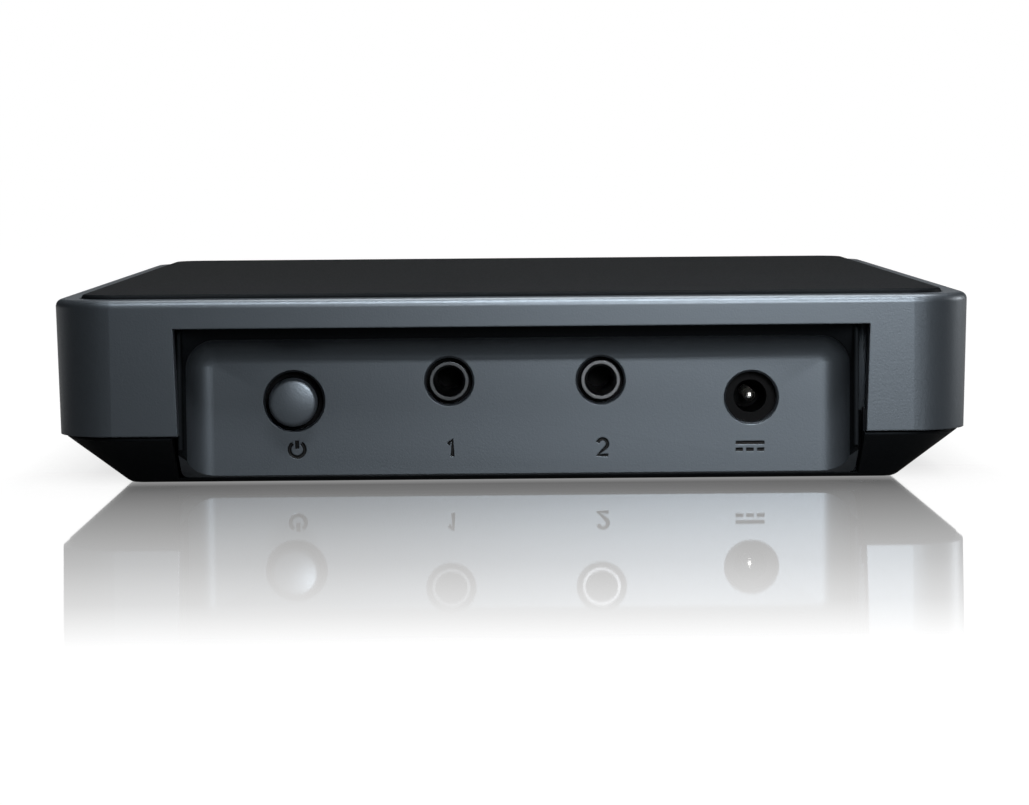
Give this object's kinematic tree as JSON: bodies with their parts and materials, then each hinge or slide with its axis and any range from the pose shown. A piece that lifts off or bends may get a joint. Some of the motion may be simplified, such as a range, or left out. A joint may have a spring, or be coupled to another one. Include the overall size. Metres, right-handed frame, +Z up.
{
  "type": "media player with hard drive tray",
  "caption": "Flat box with round corners, a scooped jack panel with a push button at one end, and a slide-out drive tray with a swing lever at the other.",
  "frame": {"origin": "middle of the box on the surface that the rubber feet stand on", "axes": "+Z up through the lid; +Y towards the tray end; the jack panel faces -Y; +X to the right of someone who looks at the jacks"},
  "size_m": [0.121, 0.1274, 0.0259],
  "materials": {
    "cover_black": "fine satin texture",
    "lid_black": "fine satin texture",
    "case_black": "dark satin",
    "panel_black": "fine satin texture",
    "foot_rubber": "matte",
    "screw_steel": "plated",
    "board_green": "solder mask",
    "chip_black": "moulded epoxy",
    "sink_aluminium": "satin",
    "can_metal": "plated can",
    "ferrite": "ferrite",
    "can_aluminium": "satin can",
    "jack_black": "moulded",
    "contact_metal": "plated",
    "dark_contact": "dark plated",
    "nylon_white": "moulded",
    "button_black": "satin",
    "port_steel": "plated",
    "ir_smoke": "smoked",
    "led_clear": "moulded",
    "tray_steel": "plated sheet",
    "drive_aluminium": "cast",
    "drive_steel": "stamped sheet"
  },
  "bodies": {
    "player_body": {"top_cover": "cover_black", "lid_plate": "lid_black", "bottom_case": "case_black", "rear_panel": "panel_black", "rubber_feet": "foot_rubber", "case_screws": "screw_steel", "main_board": "board_green", "board_screws": "screw_steel", "main_processor": "chip_black", "heat_sink": "sink_aluminium", "memory_chips": "chip_black", "flash_chip": "chip_black", "clock_crystal": "can_metal", "power_inductors": "ferrite", "filter_capacitors": "can_aluminium", "dc_jack": "jack_black", "dc_pin": "contact_metal", "component_jack": "jack_black", "av_jack": "jack_black", "component_sleeve": "dark_contact", "av_sleeve": "contact_metal", "power_switch": "jack_black", "usb_shell": "port_steel", "usb_tongue": "nylon_white", "ir_receiver": "chip_black", "ir_window": "ir_smoke", "status_led": "led_clear", "light_pipe": "led_clear", "drive_riser": "board_green", "drive_socket": "jack_black"},
    "drive_tray": {"tray_sled": "tray_steel", "tray_front": "panel_black", "tray_screws": "screw_steel", "lever_pin": "screw_steel", "drive_casting": "drive_aluminium", "drive_lid": "drive_steel", "drive_lid_screws": "screw_steel", "drive_board": "board_green", "drive_connector": "jack_black", "drive_screws": "screw_steel"},
    "tray_lever_arm": {"tray_lever": "button_black"},
    "power_key": {"power_button": "button_black", "switch_plunger": "nylon_white"}
  },
  "joints": [
    {"name": "tray_slide", "type": "slide", "parent": "player_body", "child": "drive_tray", "axis": [0, 1, 0], "range_m": [0, 0.08]},
    {"name": "lever_swing", "type": "hinge", "parent": "drive_tray", "child": "tray_lever_arm", "pos_m": [-0.0276, 0.06215, 0.01142], "axis": [0, 0, 1], "range_deg": [0, 70]},
    {"name": "button_press", "type": "slide", "parent": "player_body", "child": "power_key", "axis": [0, 1, 0], "range_m": [0, 0.0008], "stiffness_N_per_m": 800}
  ]
}
